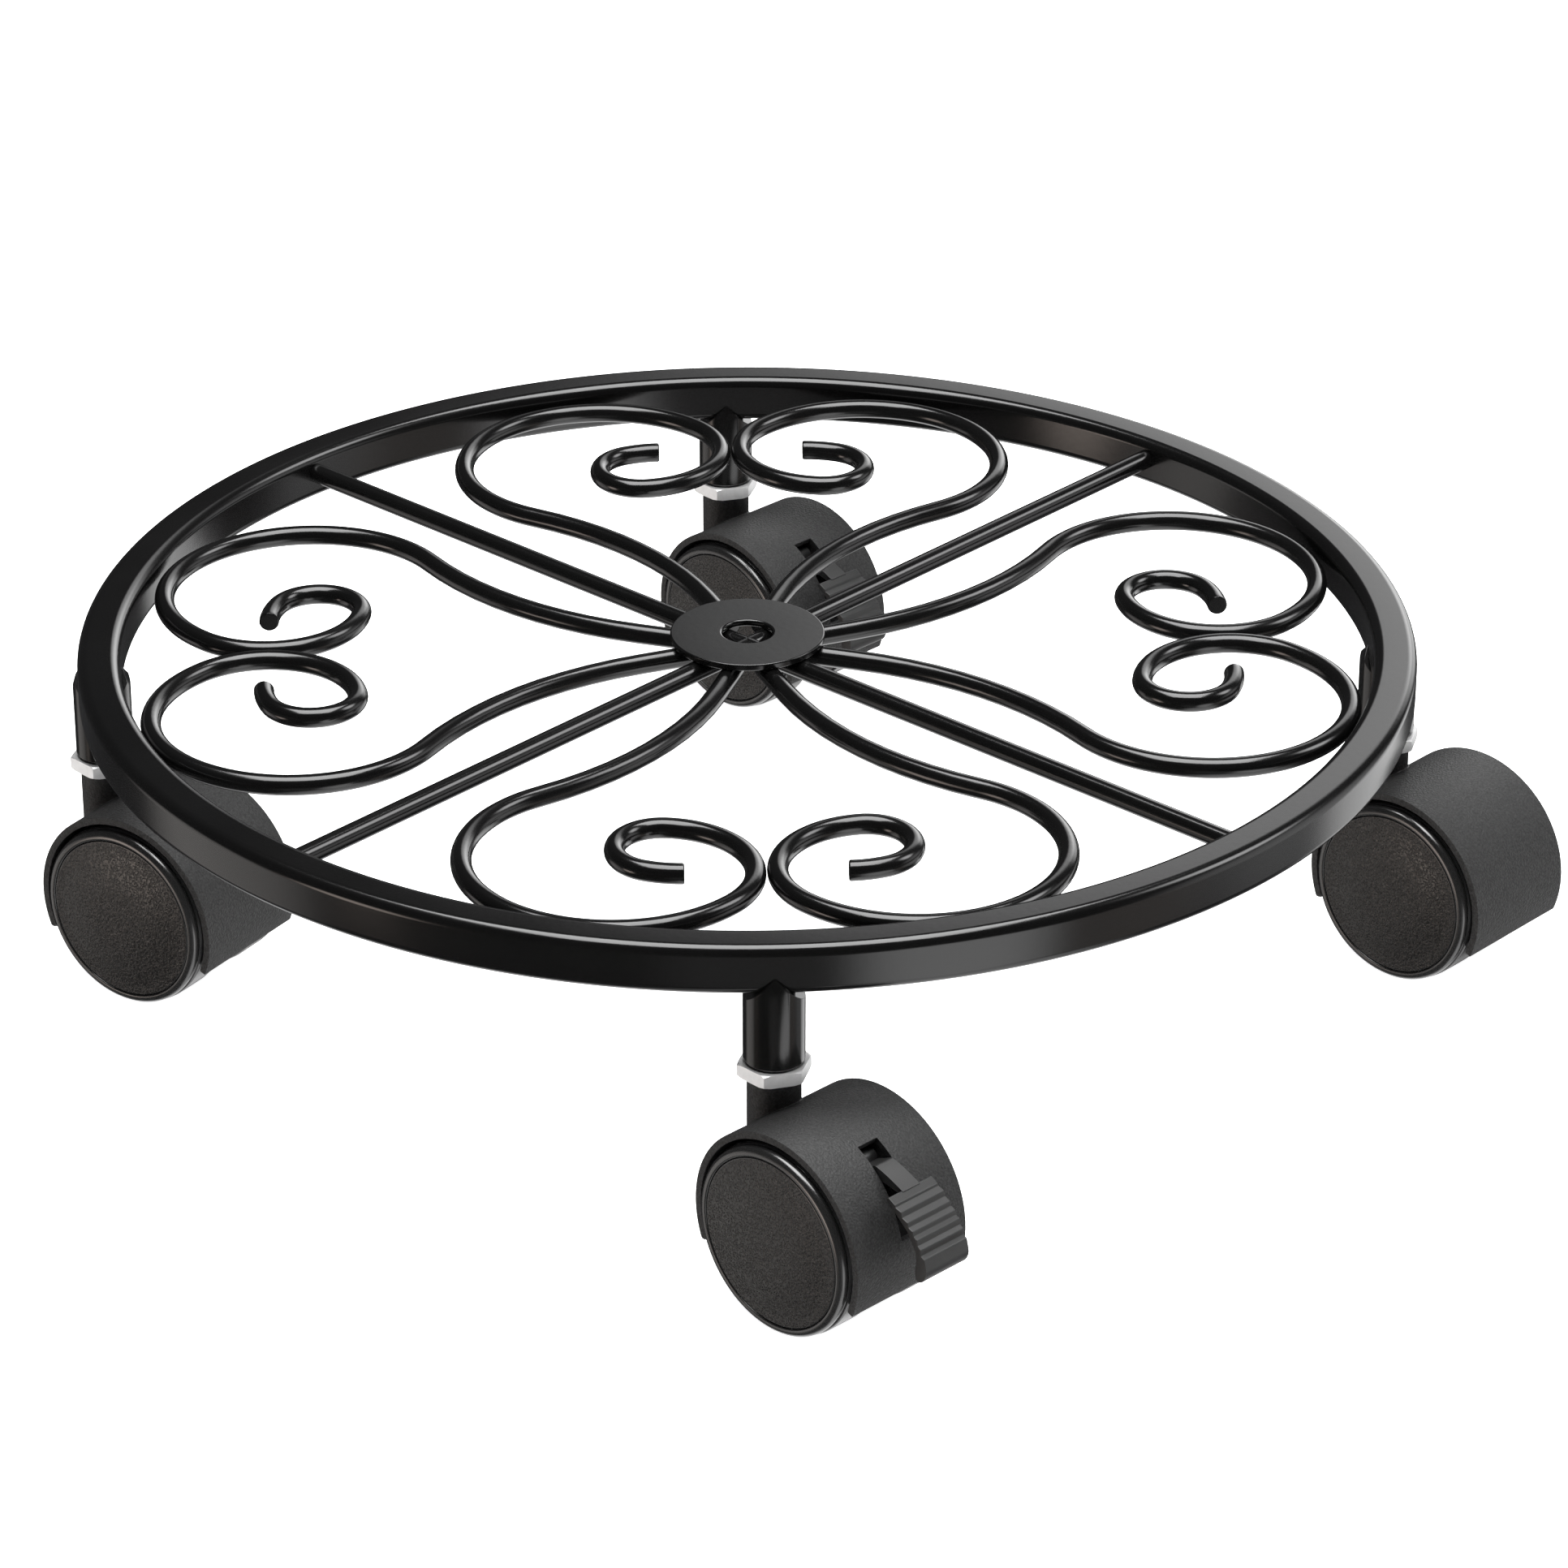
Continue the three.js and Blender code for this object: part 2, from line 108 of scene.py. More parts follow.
def startOutline(name, corners, roundSteps=4):
    # A flat face in the XZ plane from corners of (x, z) or (x, z, rounding), left in edit mode.
    bpy.ops.object.select_all(action="DESELECT")
    bpy.ops.mesh.primitive_plane_add(size=mm)
    piece = bpy.context.object
    piece.name = piece.data.name = name
    editPiece(piece)
    bpy.ops.mesh.select_all(action="SELECT")
    bpy.ops.mesh.merge(type="CENTER")
    points = [Vector((corner[0], 0, corner[1])) * mm for corner in corners]
    bpy.ops.transform.translate(value=points[0])
    for before, after in zip(points, points[1:]):
        bpy.ops.mesh.extrude_region_move(TRANSFORM_OT_translate={"value": after - before})
    bpy.ops.mesh.select_all(action="SELECT")
    bpy.ops.mesh.edge_face_add()
    roundings = sorted({corner[2] for corner in corners if len(corner) > 2})
    for rounding in roundings:
        wanted = [p for p, corner in zip(points, corners) if len(corner) > 2 and corner[2] == rounding]
        pick("verts", lambda v: any((v.co - p).length < 0.002 * mm for p in wanted))
        bpy.ops.mesh.bevel(offset=rounding * mm, offset_type="OFFSET", segments=roundSteps,
                           affect="VERTICES", clamp_overlap=True)
    return piece


def closeSkin():
    bpy.ops.mesh.select_all(action="SELECT")
    bpy.ops.mesh.remove_doubles(threshold=0.004 * mm)
    bpy.ops.mesh.normals_make_consistent(inside=False)


def turnPiece(name, corners, steps, roundSteps=4):
    # A round piece about the Z axis.
    piece = startOutline(name, corners, roundSteps)
    bpy.ops.mesh.select_mode(type="FACE")
    bpy.ops.mesh.select_all(action="SELECT")
    bpy.ops.mesh.delete(type="ONLY_FACE")
    pick("edges", lambda e: all(v.co.x < 0.001 * mm for v in e.verts))
    bpy.ops.mesh.delete(type="EDGE")
    bpy.ops.mesh.select_mode(type="VERT")
    bpy.ops.mesh.select_all(action="SELECT")
    bpy.ops.mesh.spin(steps=steps, angle=2 * pi, center=(0, 0, 0), axis=(0, 0, 1))
    closeSkin()
    leaveEdit()
    return piece


def sweepBlock(name, inner, outer, halfWidth, angles, steps):
    # A block bent round the Z axis, from one angle in degrees to another.
    piece = startOutline(name, [
        (inner, -halfWidth), (outer, -halfWidth), (outer, halfWidth), (inner, halfWidth)])
    bpy.ops.mesh.select_mode(type="FACE")
    bpy.ops.mesh.select_all(action="SELECT")
    bpy.ops.mesh.delete(type="ONLY_FACE")
    bpy.ops.mesh.select_mode(type="VERT")
    bpy.ops.mesh.select_all(action="SELECT")
    bpy.ops.mesh.spin(steps=steps, angle=-radians(angles[1] - angles[0]), center=(0, 0, 0), axis=(0, 0, 1))
    bpy.ops.mesh.edge_face_add()
    pick("verts", lambda v: abs(v.co.y) < 0.001 * mm and v.co.x > -0.001 * mm)
    bpy.ops.mesh.edge_face_add()
    closeSkin()
    leaveEdit()
    placePiece(piece, Matrix.Rotation(radians(angles[0]), 4, "Z"))
    return piece


def platePiece(name, corners, halfWidth, roundSteps=3):
    # A flat outline in the XZ plane, thickened both ways along Y.
    piece = startOutline(name, corners, roundSteps)
    bpy.ops.mesh.select_mode(type="FACE")
    bpy.ops.mesh.select_all(action="SELECT")
    bpy.ops.transform.translate(value=(0, -halfWidth * mm, 0))
    bpy.ops.mesh.extrude_region_move(TRANSFORM_OT_translate={"value": (0, 2 * halfWidth * mm, 0)})
    closeSkin()
    leaveEdit()
    return piece


def rodPiece(name, radius, low, high, sides, lying=False):
    # A plain round bar: standing from low to high, or lying along Y for cutting holes.
    bpy.ops.object.select_all(action="DESELECT")
    bpy.ops.mesh.primitive_cylinder_add(vertices=sides, radius=radius * mm, depth=(high - low) * mm)
    piece = bpy.context.object
    piece.name = piece.data.name = name
    placePiece(piece, Matrix.Translation((0, 0, (high + low) / 2 * mm)))
    if lying:
        placePiece(piece, Matrix.Rotation(pi / 2, 4, "X"))
    return piece


def placePiece(piece, place):
    # puts the place into the mesh, so that the object stays at the origin
    selectOnly(piece)
    piece.matrix_world = place @ piece.matrix_world
    bpy.ops.object.transform_apply(location=True, rotation=True, scale=True)
    if place.determinant() < 0:
        editPiece(piece)
        closeSkin()
        leaveEdit()


def copyPiece(piece, name, place):
    selectOnly(piece)
    bpy.ops.object.duplicate()
    twin = bpy.context.object
    twin.name = twin.data.name = name
    placePiece(twin, place)
    return twin


def removePiece(piece):
    bpy.data.objects.remove(piece, do_unlink=True)


def combine(piece, tool, operation):
    selectOnly(piece)
    modifier = piece.modifiers.new("combine", "BOOLEAN")
    modifier.operation = operation
    modifier.solver = "MANIFOLD"
    modifier.object = tool
    bpy.ops.object.modifier_apply(modifier=modifier.name)
    removePiece(tool)


def softenEdges(piece, width, segments=2, angle=30):
    selectOnly(piece)
    modifier = piece.modifiers.new("soften", "BEVEL")
    modifier.width = width * mm
    modifier.segments = segments
    modifier.limit_method = "ANGLE"
    modifier.angle_limit = radians(angle)
    modifier.miter_outer = "MITER_ARC"
    bpy.ops.object.modifier_apply(modifier=modifier.name)


def finishPiece(piece, body, slot, material, *nodes, smoothAngle=32):
    selectOnly(piece)
    bpy.ops.object.shade_smooth_by_angle(angle=radians(smoothAngle))
    # flat faces keep a flat shade beside their rounded edges
    modifier = piece.modifiers.new("flats", "WEIGHTED_NORMAL")
    modifier.keep_sharp = True
    bpy.ops.object.modifier_apply(modifier=modifier.name)
    if not any(piece.data.materials):
        piece.data.materials.clear()
        piece.data.materials.append(material)
    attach(piece, body)
    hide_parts(*nodes)


def polar(radius, angle):
    return radius * cos(radians(angle)), radius * sin(radians(angle))


def polarCorners(corners):
    # Outline corners from (radius, angle) or (radius, angle, rounding).
    return [(*polar(*corner[:2]), *corner[2:]) for corner in corners]


# Materials
def linear(code):
    channels = [int(code[i:i + 2], 16) / 255 for i in (1, 3, 5)]
    return [c / 12.92 if c <= 0.04045 else ((c + 0.055) / 1.055) ** 2.4 for c in channels] + [1]


def addNode(material, kind, values=None, links=None, **settings):
    node = material.node_tree.nodes.new(kind)
    for key, setting in settings.items():
        setattr(node, key, setting)
    for socket, setting in (values or {}).items():
        node.inputs[socket].default_value = setting
    for socket, source in (links or {}).items():
        material.node_tree.links.new(source, node.inputs[socket])
    return node


def newMaterial(name):
    material = bpy.data.materials.new(name)
    material.use_nodes = True
    material.node_tree.nodes.clear()
    place = addNode(material, "ShaderNodeTexCoord").outputs["Object"]
    return material, place


def addNoise(material, place, size, detail, more=None):
    # Noise with features about size millimetres across.
    values = {"Scale": 1000 / size, "Detail": detail, **(more or {})}
    return addNode(material, "ShaderNodeTexNoise", values, {"Vector": place}).outputs["Fac"]


def mixColour(material, look, factor):
    return addNode(material, "ShaderNodeMix", {"A": linear(look["dark"]), "B": linear(look["light"])},
                   {"Factor": factor}, data_type="RGBA").outputs["Result"]


def mixRoughness(material, span, factor):
    return addNode(material, "ShaderNodeMapRange", {"To Min": span[0], "To Max": span[1]},
                   {"Value": factor}).outputs["Result"]


def addBump(material, bump, height):
    strength, depth = bump
    return addNode(material, "ShaderNodeBump", {"Strength": strength, "Distance": depth * mm},
                   {"Height": height}).outputs["Normal"]


def finishMaterial(material, values, colour, rough=None, normal=None):
    sources = {"Base Color": colour, "Roughness": rough, "Normal": normal}
    links = {socket: source for socket, source in sources.items() if source is not None}
    shader = addNode(material, "ShaderNodeBsdfPrincipled", values, links)
    addNode(material, "ShaderNodeOutputMaterial", links={"Surface": shader.outputs["BSDF"]})
    return material


# In every look, a bump is (strength, depth in mm) and sizes are in mm.
powderCoatLook = {
    "dark": "#070707", "light": "#0d0d0d",
    "peelSize": 1.6,  # one dimple of the orange peel
    "peelDetail": 1.5,
    "cloudSize": 28, "cloudDetail": 3,
    "bump": (0.5, 0.012),
    "roughness": (0.14, 0.2),
    "shine": {"IOR": 1.5, "Specular IOR Level": 0.5},
}


def makePowderCoat(look):
    # Black powder coat baked on steel: a level, semi-gloss skin whose faint orange peel
    # softens every highlight.
    material, place = newMaterial("blackPowderCoat")
    cloud = addNoise(material, place, look["cloudSize"], look["cloudDetail"])
    peel = addNoise(material, place, look["peelSize"], look["peelDetail"])
    return finishMaterial(material, look["shine"], mixColour(material, look, cloud),
                          mixRoughness(material, look["roughness"], cloud),
                          addBump(material, look["bump"], peel))


zincLook = {
    "dark": "#d2d2d2", "light": "#ececec",
    "spangleSize": 1.6,  # broad soft blotches of the plating
    "scratchSize": 0.35,
    "detail": 2,
    "bump": (0.2, 0.01),
    "roughness": (0.3, 0.42),
    "shine": {"Metallic": 0.5},
}


def makeZinc(look):
    # Blue-white passivated zinc on steel: a pale satin plating, milky rather than mirror-like.
    material, place = newMaterial("brightZincPlate")
    spangle = addNoise(material, place, look["spangleSize"], look["detail"])
    scratch = addNoise(material, place, look["scratchSize"], look["detail"])
    return finishMaterial(material, look["shine"], mixColour(material, look, spangle),
                          mixRoughness(material, look["roughness"], scratch),
                          addBump(material, look["bump"], scratch))


bandRadians = 20  # a band texture of scale 1 runs through this angle over one metre
steelLook = {
    "dark": "#7c7c7a", "light": "#a8a8a6",
    "ringPitch": 5.0265,  # rings left by the tool, drawn far coarser than real ones so that they show
    "rings": {"Distortion": 2, "Detail": 2},
    "roughness": (0.28, 0.45),
    "shine": {"Metallic": 1},
}


def makeSteel(look):
    # Plain turned steel rod: grey, with fine rings left by the tool.
    material, place = newMaterial("turnedSteel")
    scale = 2 * pi * 1000 / look["ringPitch"] / bandRadians
    rings = addNode(material, "ShaderNodeTexWave", {"Scale": scale, **look["rings"]}, {"Vector": place},
                    wave_type="BANDS", bands_direction="Z").outputs["Fac"]
    return finishMaterial(material, look["shine"], mixColour(material, look, rings),
                          mixRoughness(material, look["roughness"], rings))


hoodLook = {
    # light is the painted highlight on the grain's raised tops
    "dark": "#191919", "light": "#2a2a2a",
    "grainSize": 0.5,  # spark-eroded texture of the mould, drawn a little coarse so that it shows
    "grainDetail": 1.5,
    "grain": {"Roughness": 0.6},
    # the part of the grain whose raised tops get the painted highlight
    "grainGlintPaintRange": {"From Min": 0.35, "From Max": 0.68},
    "bump": (0.9, 0.22),
    "roughness": (0.66, 0.5),
    "shine": {"IOR": 1.52, "Specular IOR Level": 0.42},
}


def makeHoodNylon(look):
    # Moulded glass-filled nylon with a fine spark texture: charcoal and nearly matt, its colour painted
    # lighter on the raised tops of the grain as a painted highlight.
    material, place = newMaterial("sparkTexturedNylon")
    grain = addNoise(material, place, look["grainSize"], look["grainDetail"], look["grain"])
    # painted highlight: the colour is lighter where the grain stands high
    paintedGrainGlint = addNode(material, "ShaderNodeMapRange", look["grainGlintPaintRange"], {"Value": grain}).outputs["Result"]
    return finishMaterial(material, look["shine"], mixColour(material, look, paintedGrainGlint),
                          mixRoughness(material, look["roughness"], grain),
                          addBump(material, look["bump"], grain))


leverLook = {
    "dark": "#1b1b1b", "light": "#232323",
    "flowSize": 5, "scuffSize": 0.5, "detail": 2,
    "flow": {"Distortion": 0.6},
    "bump": (0.25, 0.015),
    "roughness": (0.36, 0.46),
    "shine": {"IOR": 1.52},
}


def makeLeverNylon(look):
    # Polished-mould nylon: smoother than the hood, with faint flow marks.
    material, place = newMaterial("satinLeverNylon")
    flow = addNoise(material, place, look["flowSize"], look["detail"], look["flow"])
    scuff = addNoise(material, place, look["scuffSize"], look["detail"])
    return finishMaterial(material, look["shine"], mixColour(material, look, flow),
                          mixRoughness(material, look["roughness"], scuff),
                          addBump(material, look["bump"], scuff))


wheelLook = {
    "dark": "#171717", "light": "#1f1f1f",
    "flowSize": 7, "flowDetail": 2, "dustSize": 0.6, "dustDetail": 3,
    "bump": (0.15, 0.012),
    "roughness": (0.17, 0.27),
    "shine": {"IOR": 1.52, "Specular IOR Level": 0.8},
}


def makeWheelNylon(look):
    # Solid nylon wheel from a polished mould: black with a satin gloss that is a little
    # scuffed all over.
    material, place = newMaterial("satinGlossWheelNylon")
    flow = addNoise(material, place, look["flowSize"], look["flowDetail"])
    dust = addNoise(material, place, look["dustSize"], look["dustDetail"])
    return finishMaterial(material, look["shine"], mixColour(material, look, flow),
                          mixRoughness(material, look["roughness"], dust),
                          addBump(material, look["bump"], dust))


capLook = {
    # dark is the painted shade in the valleys, light the painted highlight on the pebble tops
    "dark": "#0f0e0e", "light": "#161514",
    "pebbleSize": 0.5,  # one pebble of the grain
    "pebbleDetail": 1,
    "pebble": {"Distortion": 0.6},
    # how the pebble noise becomes height, which also sets the painted highlight and painted shade of the
    # colour
    "riseAndPaintedShadeRange": {"From Min": 0.3, "From Max": 0.62},
    "bump": (0.8, 0.07),
    "roughness": (0.31, 0.2),
    "shine": {"IOR": 1.5, "Specular IOR Level": 0.42},
}


def makeCapGrain(look):
    # Leather-grained plastic cap: small round-topped pebbles that glint one by one where the light strikes,
    # their colour painted lighter on the tops as a painted highlight and darker in the valleys as painted
    # shade.
    material, place = newMaterial("leatherGrainPlastic")
    pebble = addNoise(material, place, look["pebbleSize"], look["pebbleDetail"], look["pebble"])
    rise = addNode(material, "ShaderNodeMapRange", look["riseAndPaintedShadeRange"], {"Value": pebble},
                   interpolation_type="SMOOTHSTEP").outputs["Result"]
    # the colour is painted lighter on the pebble tops and darker in the valleys: painted highlight and painted
    # shade
    return finishMaterial(material, look["shine"], mixColour(material, look, rise),
                          mixRoughness(material, look["roughness"], rise),
                          addBump(material, look["bump"], rise))


powderCoat = makePowderCoat(powderCoatLook)
zincPlate = makeZinc(zincLook)
turnedSteel = makeSteel(steelLook)
hoodNylon = makeHoodNylon(hoodLook)
leverNylon = makeLeverNylon(leverLook)
wheelNylon = makeWheelNylon(wheelLook)
capGrain = makeCapGrain(capLook)
print("materials made")


# Hoop: a rounded rectangular bar rolled into a ring
hoopShape = {"width": 9.6, "corner": 2.3, "steps": 240, "cornerSteps": 8}
hoopInner = hoopOuter - hoopShape["width"]


def makeHoop(shape):
    corner = shape["corner"]
    hoop = turnPiece("hoopBar", [
        (hoopInner, hoopBottom, corner), (hoopOuter, hoopBottom, corner),
        (hoopOuter, hoopTop, corner), (hoopInner, hoopTop, corner)], shape["steps"], shape["cornerSteps"])
    placePiece(hoop, deckPlace)
    finishPiece(hoop, "deck", "powder_coat", powderCoat, "hoop")


makeHoop(hoopShape)
print("hoop made")


# Hub: a pressed washer over the crossing rods
hubShape = {"hole": 5.7, "edge": 0.35, "holeEdge": 0.55, "underEdge": 0.3, "steps": 96}


def makeHub(shape):
    outer = (hubHigh.y - hubLow.y) / 2 / mm
    low, high = hubLow.z / mm, hubHigh.z / mm
    hub = turnPiece("hubPlate", [
        (shape["hole"], low, shape["underEdge"]), (outer, low, shape["underEdge"]),
        (outer, high, shape["edge"]), (shape["hole"], high, shape["holeEdge"])], shape["steps"])
    placePiece(hub, deckPlace)
    finishPiece(hub, "deck", "powder_coat", powderCoat, "hub_plate")


makeHub(hubShape)
print("hub plate made")


# Rods: four straight spokes and eight scrolls, all of one round bar
rodShape = {
    "radius": 2.28, "sides": 24, "endChamfer": 0.35, "stepAngle": 4,
    "overlap": 0.2,  # how far a spoke runs into the hoop's inner face
    "centreGap": 0.1,  # from the middle to the pointed end of a spoke
}
rodHeight = (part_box("spoke_1")[0].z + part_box("spoke_1")[1].z) / 2 / mm


def rodPlace(quarter):
    turn = Matrix.Rotation(radians(45 + 90 * quarter), 4, "Z")
    return deckPlace @ Matrix.Translation((0, 0, rodHeight * mm)) @ turn


def makeSpokes(shape):
    reach = hoopInner + shape["overlap"]
    spoke = rodPiece("spokeRod", shape["radius"], 0, reach, shape["sides"], lying=True)
    placePiece(spoke, Matrix.Rotation(pi, 4, "Z"))
    editPiece(spoke)
    for side in (-1, 1):  # the inner end is cut to a point, so that four spokes meet
        bpy.ops.mesh.select_all(action="SELECT")
        bpy.ops.mesh.bisect(plane_co=(0, shape["centreGap"] * mm, 0), plane_no=(side, -1, 0),
                            use_fill=True, clear_outer=True)
    closeSkin()
    leaveEdit()
    for i in range(4):
        twin = copyPiece(spoke, f"spokeRod{i + 1}", rodPlace(i))
        finishPiece(twin, "deck", "powder_coat", powderCoat, f"spoke_{i + 1}")
    removePiece(spoke)


makeSpokes(rodShape)

# The scroll leaves the hub beside its spoke, sways out, loops under the hoop and curls in.
# Each turn is (radius, degrees away from the spoke).
scrollShape = {
    "across": 5.4, "along": 9.95, "heading": 25.9, "lead": 14.2,
    "turns": [(87, -41.6), (32.4, 198), (20.8, 125.2), (10, 165.1), (22, 22.1)],
}


def makeScrolls(shape, rod):
    heading = radians(shape["heading"])
    x, y = shape["across"], shape["along"]
    bpy.ops.object.select_all(action="DESELECT")
    bpy.ops.mesh.primitive_circle_add(vertices=rod["sides"], radius=rod["radius"] * mm, fill_type="NOTHING",
                                      location=(x * mm, y * mm, 0), rotation=(pi / 2, 0, -heading))
    scroll = bpy.context.object
    scroll.name = scroll.data.name = "scrollRod"
    placePiece(scroll, Matrix.Identity(4))
    editPiece(scroll)
    bpy.ops.mesh.select_all(action="SELECT")
    lead = Vector((sin(heading), cos(heading), 0)) * shape["lead"]
    bpy.ops.mesh.extrude_region_move(TRANSFORM_OT_translate={"value": lead * mm})
    x, y = x + lead.x, y + lead.y
    for radius, sweep in shape["turns"]:
        side = math.copysign(radius, sweep)
        centre = Vector((x + side * cos(heading), y - side * sin(heading), 0))
        steps = max(4, round(abs(sweep) / rod["stepAngle"]))
        bpy.ops.mesh.spin(steps=steps, angle=radians(sweep), center=centre * mm, axis=(0, 0, 1))
        after = heading + radians(sweep)
        x, y = centre.x - side * cos(after), centre.y + side * sin(after)
        heading = after
    bpy.ops.mesh.edge_face_add()
    bpy.ops.mesh.select_all(action="DESELECT")
    bpy.ops.mesh.select_non_manifold()
    bpy.ops.mesh.edge_face_add()
    pick("faces", lambda f: len(f.verts) == rod["sides"])
    bpy.ops.mesh.bevel(offset=rod["endChamfer"] * mm, segments=2, affect="EDGES")
    closeSkin()
    leaveEdit()
    flip = Matrix.Scale(-1, 4, (1, 0, 0))
    for i in range(4):
        for letter, place in (("a", rodPlace(i)), ("b", rodPlace(i) @ flip)):
            twin = copyPiece(scroll, f"scrollRod{i + 1}{letter}", place)
            finishPiece(twin, "deck", "powder_coat", powderCoat, f"scroll_{i + 1}_{letter}")
    removePiece(scroll)


makeScrolls(scrollShape, rodShape)
print("rods made")


# Leg posts: tube with two pointed lobes that clasp the hoop
postShape = {
    "radius": 6.5, "bore": 4.2, "boreReach": 16, "boreEdge": 0.3, "sides": 64, "edge": 0.35, "footEdge": 0.5,
    "gable": 4.25,  # the lobes' points above the hoop's underside
    "tip": 0.12, "tipSlope": 0.38,  # each lobe's top stands this proud of the hoop, then widens downwards
    "seatCorner": 2,
}
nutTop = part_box("nut_front")[1].z / mm
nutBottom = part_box("nut_front")[0].z / mm


def makePosts(shape):
    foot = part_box("post_front")[0].z / mm
    top = hoopBottom + shape["gable"]
    post = turnPiece("legPost", [
        (shape["bore"], foot + shape["boreReach"]), (shape["bore"], foot, shape["boreEdge"]),
        (shape["radius"], foot, shape["footEdge"]), (shape["radius"], top), (0, top),
        (0, foot + shape["boreReach"])], shape["sides"])
    editPiece(post)
    for side in (-1, 1):
        bpy.ops.mesh.select_all(action="SELECT")
        bpy.ops.mesh.bisect(plane_co=(0, 0, top * mm), plane_no=(0, side, 1),
                            use_fill=True, clear_outer=True)
    for side in (-1, 1):  # each lobe's tip is dressed down onto the hoop's face
        bpy.ops.mesh.select_all(action="SELECT")
        bpy.ops.mesh.bisect(plane_co=(side * (hoopShape["width"] / 2 + shape["tip"]) * mm, 0, top * mm),
                            plane_no=(side, 0, shape["tipSlope"]), use_fill=True, clear_outer=True)
    leaveEdit()
    seat = turnPiece("hoopSeat", [
        (hoopInner, hoopBottom, shape["seatCorner"]), (hoopOuter, hoopBottom, shape["seatCorner"]),
        (hoopOuter, hoopTop), (hoopInner, hoopTop)], hoopShape["steps"])
    placePiece(seat, Matrix.Translation(((hoopShape["width"] / 2 - hoopOuter) * mm, 0, 0)))
    combine(post, seat, "DIFFERENCE")
    softenEdges(post, shape["edge"], angle=40)
    for i, name in enumerate(casterNames):
        place = stemPlaces[name] @ Matrix.Rotation(radians(90 * (i - 1)), 4, "Z")
        twin = copyPiece(post, f"legPost_{name}", place)
        finishPiece(twin, "deck", "powder_coat", powderCoat, f"post_{name}")
    removePiece(post)


makePosts(postShape)


# Jam nuts: hexagon with its corners turned off
nutShape = {
    "corners": 8.0, "flatCircle": 7.35, "chamfer": 0.3, "over": 0.3, "steps": 96,
    "bore": 4.1, "boreChamfer": 0.5, "blank": 20, "yaw": -17.6, "edge": 0.08,
}


def makeNuts(shape):
    corner, flat, bore = shape["corners"], shape["flatCircle"], shape["bore"]
    slope, clear = shape["chamfer"] * 1.5, corner + shape["over"]
    nut = turnPiece("jamNut", [
        (bore, nutBottom), (flat, nutBottom), (clear, nutBottom + slope), (clear, nutTop - slope),
        (flat, nutTop), (bore + shape["boreChamfer"], nutTop), (bore, nutTop - shape["boreChamfer"])],
        shape["steps"])
    bpy.ops.object.select_all(action="DESELECT")
    bpy.ops.mesh.primitive_cylinder_add(vertices=6, radius=corner * mm, depth=shape["blank"] * mm,
                                        location=(0, 0, nutTop * mm), rotation=(0, 0, radians(shape["yaw"])))
    combine(nut, bpy.context.object, "INTERSECT")
    softenEdges(nut, shape["edge"], angle=25)
    for name in casterNames:
        twin = copyPiece(nut, f"jamNut_{name}", stemPlaces[name])
        finishPiece(twin, "deck", "zinc", zincPlate, f"nut_{name}", smoothAngle=20)
    removePiece(nut)


makeNuts(nutShape)
print("legs made")


# Caster hoods: a bent cover, the boss that holds the stem, and the web between the wheels.
# Angles run from straight behind the axle, over the top, to the front.
hoodShape = {
    "outer": 23.8, "wall": 1.6, "halfWidth": 15.65, "angles": (-22.5, 204), "steps": 60,
    "corner": 0.95, "edge": 0.4,
    "sink": 0.8,  # how far the web and the ears run into the shell
    "boss": 5.7, "bossFoot": 2, "bossTop": 12, "bossFillet": 0.55, "bossEdge": 0.4,
    "drape": 0.03,  # how far the boss's foot sinks into the shell
    "nutGap": 0.3,
    "socket": 4.05, "socketFoot": 6.5, "socketTop": 40,
    "web": 2.5, "webAngles": (82, 198), "webHub": 4.6, "axleHole": 2.8,
    "slot": 2.75, "slotAngles": (10.9, 63.5), "slotMargin": 3,
    "earInner": 2.85, "ear": 2.2, "earReach": 2.7, "earAngles": (74, 48, 61),
}
lieDown = Matrix.Rotation(pi / 2, 4, "X")  # from turned about Z to turned about the axle
brakePin = {"place": (9.2, 16.6), "hole": 1.3}
cutReach = 20  # holes along the axle are cut this far each way


def shiftPiece(piece, x, y, z):
    placePiece(piece, Matrix.Translation(Vector((x, y, z)) * mm))


def drillPin(piece):
    x, z = brakePin["place"]
    pin = rodPiece("pinCutter", brakePin["hole"], -cutReach, cutReach, 24, lying=True)
    shiftPiece(pin, x, 0, z)
    combine(piece, pin, "DIFFERENCE")


def makeBoss(shape):
    # Turned with a flared foot as if it stood on level ground, then its foot is draped over the hood.
    top = nutBottom - shape["nutGap"] - axleHeight
    boss, fillet = shape["boss"], shape["bossFillet"]
    turns = [radians(15 * k) for k in range(7)]
    flare = [(boss + fillet * (1 - sin(t)), fillet * (1 - cos(t))) for t in turns]
    piece = turnPiece("hoodBoss", [(0, -1), (flare[0][0], -1)] + flare
                      + [(boss, top, shape["bossEdge"]), (0, top)], 72)
    ground = shape["outer"] - shape["drape"]
    for vertex in piece.data.vertices:
        if vertex.co.z < fillet * 1.01 * mm:
            x = vertex.co.x / mm - stemBehind
            vertex.co.z += math.sqrt(max(ground ** 2 - x ** 2, 0)) * mm
    shiftPiece(piece, -stemBehind, 0, 0)
    return piece


def roundShellCorners(shape):
    # the four corners of the shell's two ends, seen from outside
    ends = [Matrix.Rotation(radians(a), 3, "Z") @ Vector((0, 1, 0)) for a in shape["angles"]]
    near = 0.01 * mm
    pick("edges", lambda e: all(abs(abs(v.co.z) - shape["halfWidth"] * mm) < near for v in e.verts)
         and (e.verts[0].co - e.verts[1].co).length > (shape["wall"] - 0.1) * mm
         and any(all(abs(v.co.dot(end)) < near for v in e.verts) for end in ends))
    bpy.ops.mesh.bevel(offset=shape["corner"] * mm, segments=5, affect="EDGES")


